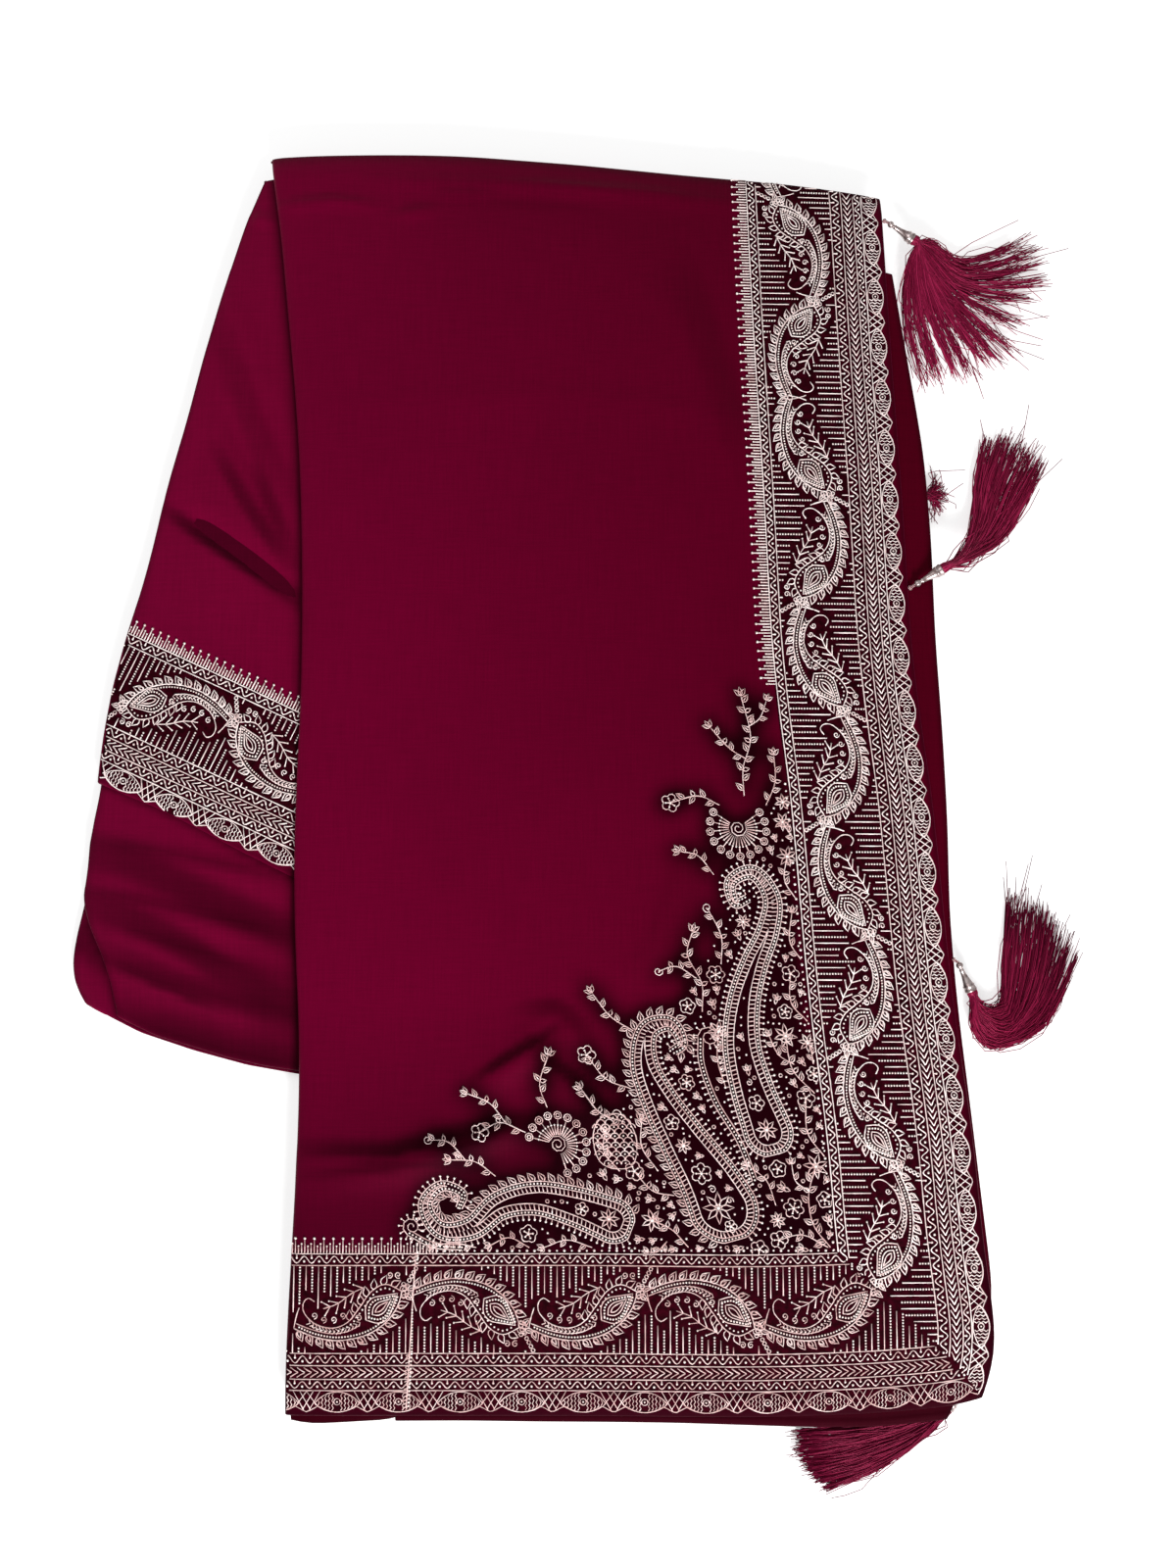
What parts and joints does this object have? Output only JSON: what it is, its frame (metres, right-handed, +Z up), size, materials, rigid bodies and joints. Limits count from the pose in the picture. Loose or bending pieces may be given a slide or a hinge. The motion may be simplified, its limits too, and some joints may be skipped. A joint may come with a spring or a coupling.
{
  "type": "saree",
  "caption": "Saree folded flat in a layered pile, with an embroidered L-shaped pallu border on top, fanned side plies and silk tassels.",
  "frame": {"origin": "on the flat underside, near the middle of the folded pile", "axes": "+X along the bottom hem towards the tasselled end, +Y from the bottom hem to the top fold, +Z up from the surface that it lies on"},
  "size_m": [0.436, 0.5856, 0.0195],
  "materials": {
    "cloth": "soft satin sheen, fine plain weave with slubs",
    "deep_cloth": "the same cloth in the shade between the plies",
    "embroidery": "pale rose-silver zari thread and small beads on the wine cloth",
    "cord_thread": "twisted cord",
    "cap_metal": "smooth, slightly worn",
    "tassel_silk": "lustrous loose silk thread"
  },
  "bodies": {
    "root": {"hidden_pile": "deep_cloth", "side_pile": "deep_cloth", "side_lower_ply": "cloth", "side_middle_ply": "cloth", "side_upper_ply": "cloth", "pallu_back": "deep_cloth", "pallu_front": "cloth", "pallu_end_band": "embroidery", "pallu_hem_band": "embroidery", "side_hem_band": "embroidery", "tassel_top_cord": "cord_thread", "tassel_top_cap": "cap_metal", "tassel_top_skirt": "tassel_silk", "tassel_middle_cord": "cord_thread", "tassel_middle_cap": "cap_metal", "tassel_middle_skirt": "tassel_silk", "tassel_lower_cord": "cord_thread", "tassel_lower_cap": "cap_metal", "tassel_lower_skirt": "tassel_silk", "tassel_hem_cord": "cord_thread", "tassel_hem_cap": "cap_metal", "tassel_hem_skirt": "tassel_silk", "tassel_tucked_skirt": "tassel_silk"}
  },
  "joints": []
}
